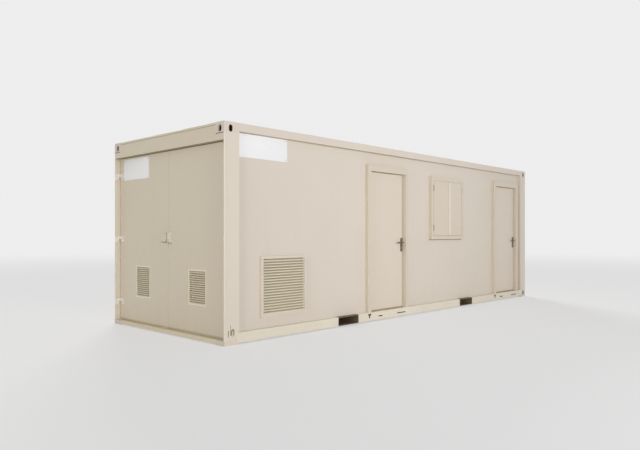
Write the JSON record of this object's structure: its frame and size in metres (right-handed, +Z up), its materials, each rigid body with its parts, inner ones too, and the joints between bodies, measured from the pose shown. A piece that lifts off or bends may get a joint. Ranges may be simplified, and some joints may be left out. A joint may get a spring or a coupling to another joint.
{
  "type": "portable site cabin",
  "caption": "Steel portable site cabin with side doors, a shuttered window, louvre vents, fork pockets, corner fittings and hinged double doors at one end.",
  "frame": {"origin": "middle of the footprint on the ground, under the corner fittings", "axes": "+X along the length from the double-door end to the plain rear end, +Y from the long side with the doors and window to the plain long side, +Z up"},
  "size_m": [7.315, 2.438, 2.438],
  "materials": {
    "frame_paint": "satin cream paint on steel frame",
    "wall_paint": "satin cream paint on insulated steel wall panels",
    "door_paint": "satin cream paint on steel door leaves",
    "vent_paint": "satin cream paint on pressed louvre blades",
    "handle_dark": "dark brown handle sets",
    "lock_metal": "painted lock case",
    "hinge_metal": "painted hinge lugs and straps",
    "underframe": "dull dark underframe paint",
    "deck_board": "sealed floor board",
    "ceiling_board": "off-white ceiling lining",
    "window_glass": "clear pane"
  },
  "bodies": {
    "cabin": {"top_corner_fittings": "frame_paint", "bottom_corner_fittings": "frame_paint", "door_end_posts": "frame_paint", "rear_end_posts": "frame_paint", "top_side_rails": "frame_paint", "bottom_side_rails": "frame_paint", "door_end_header": "frame_paint", "door_end_sill": "frame_paint", "rear_end_rails": "frame_paint", "fork_pocket_tubes": "underframe", "floor_joists": "underframe", "floor_deck": "deck_board", "roof_sheet": "frame_paint", "roof_bows": "underframe", "ceiling_panel": "ceiling_board", "front_wall_left": "wall_paint", "front_wall_middle": "wall_paint", "front_wall_infill": "wall_paint", "back_wall": "wall_paint", "rear_end_wall": "wall_paint", "side_louvre_frame": "frame_paint", "side_louvre_blades": "vent_paint", "door_frame_1": "frame_paint", "door_frame_2": "frame_paint", "window_frame": "frame_paint", "window_glass": "window_glass", "hinge_lugs": "hinge_metal"},
    "end_door_left": {"end_door_left": "door_paint", "end_vent_left": "vent_paint", "end_door_left_hinges": "hinge_metal", "lock_keeper": "lock_metal"},
    "end_door_right": {"end_door_right": "door_paint", "end_vent_right": "vent_paint", "end_door_right_hinges": "hinge_metal", "lock_case": "lock_metal"},
    "side_door_1": {"side_door_1": "door_paint", "side_door_1_hinges": "hinge_metal", "handle_plate_1": "handle_dark"},
    "side_door_2": {"side_door_2": "door_paint", "side_door_2_hinges": "hinge_metal", "handle_plate_2": "handle_dark"},
    "lever_1": {"lever_1": "handle_dark"},
    "lever_2": {"lever_2": "handle_dark"},
    "shutter_left": {"shutter_left": "door_paint"},
    "shutter_right": {"shutter_right": "door_paint"}
  },
  "joints": [
    {"name": "end_door_left_swing", "type": "hinge", "parent": "cabin", "child": "end_door_left", "pos_m": [-3.6225, 1.189, 0], "axis": [0, 0, -1], "range_deg": [0, 175]},
    {"name": "end_door_right_swing", "type": "hinge", "parent": "cabin", "child": "end_door_right", "pos_m": [-3.6225, -1.189, 0], "axis": [0, 0, 1], "range_deg": [0, 175]},
    {"name": "side_door_1_swing", "type": "hinge", "parent": "cabin", "child": "side_door_1", "pos_m": [-1.1265, -1.173, 0], "axis": [0, 0, -1], "range_deg": [0, 95]},
    {"name": "lever_1_turn", "type": "hinge", "parent": "side_door_1", "child": "lever_1", "pos_m": [-0.3675, -1.179, 1.089], "axis": [0, -1, 0], "range_deg": [0, 45], "stiffness_Nm_per_rad": 1, "springref_deg": -28.65},
    {"name": "side_door_2_swing", "type": "hinge", "parent": "cabin", "child": "side_door_2", "pos_m": [2.4765, -1.173, 0], "axis": [0, 0, -1], "range_deg": [0, 95]},
    {"name": "lever_2_turn", "type": "hinge", "parent": "side_door_2", "child": "lever_2", "pos_m": [3.2355, -1.179, 1.089], "axis": [0, -1, 0], "range_deg": [0, 45], "stiffness_Nm_per_rad": 1, "springref_deg": -28.65},
    {"name": "shutter_left_swing", "type": "hinge", "parent": "cabin", "child": "shutter_left", "pos_m": [0.4305, -1.2135, 0], "axis": [0, 0, -1], "range_deg": [0, 170]},
    {"name": "shutter_right_swing", "type": "hinge", "parent": "cabin", "child": "shutter_right", "pos_m": [1.2755, -1.2135, 0], "axis": [0, 0, 1], "range_deg": [0, 170]}
  ]
}
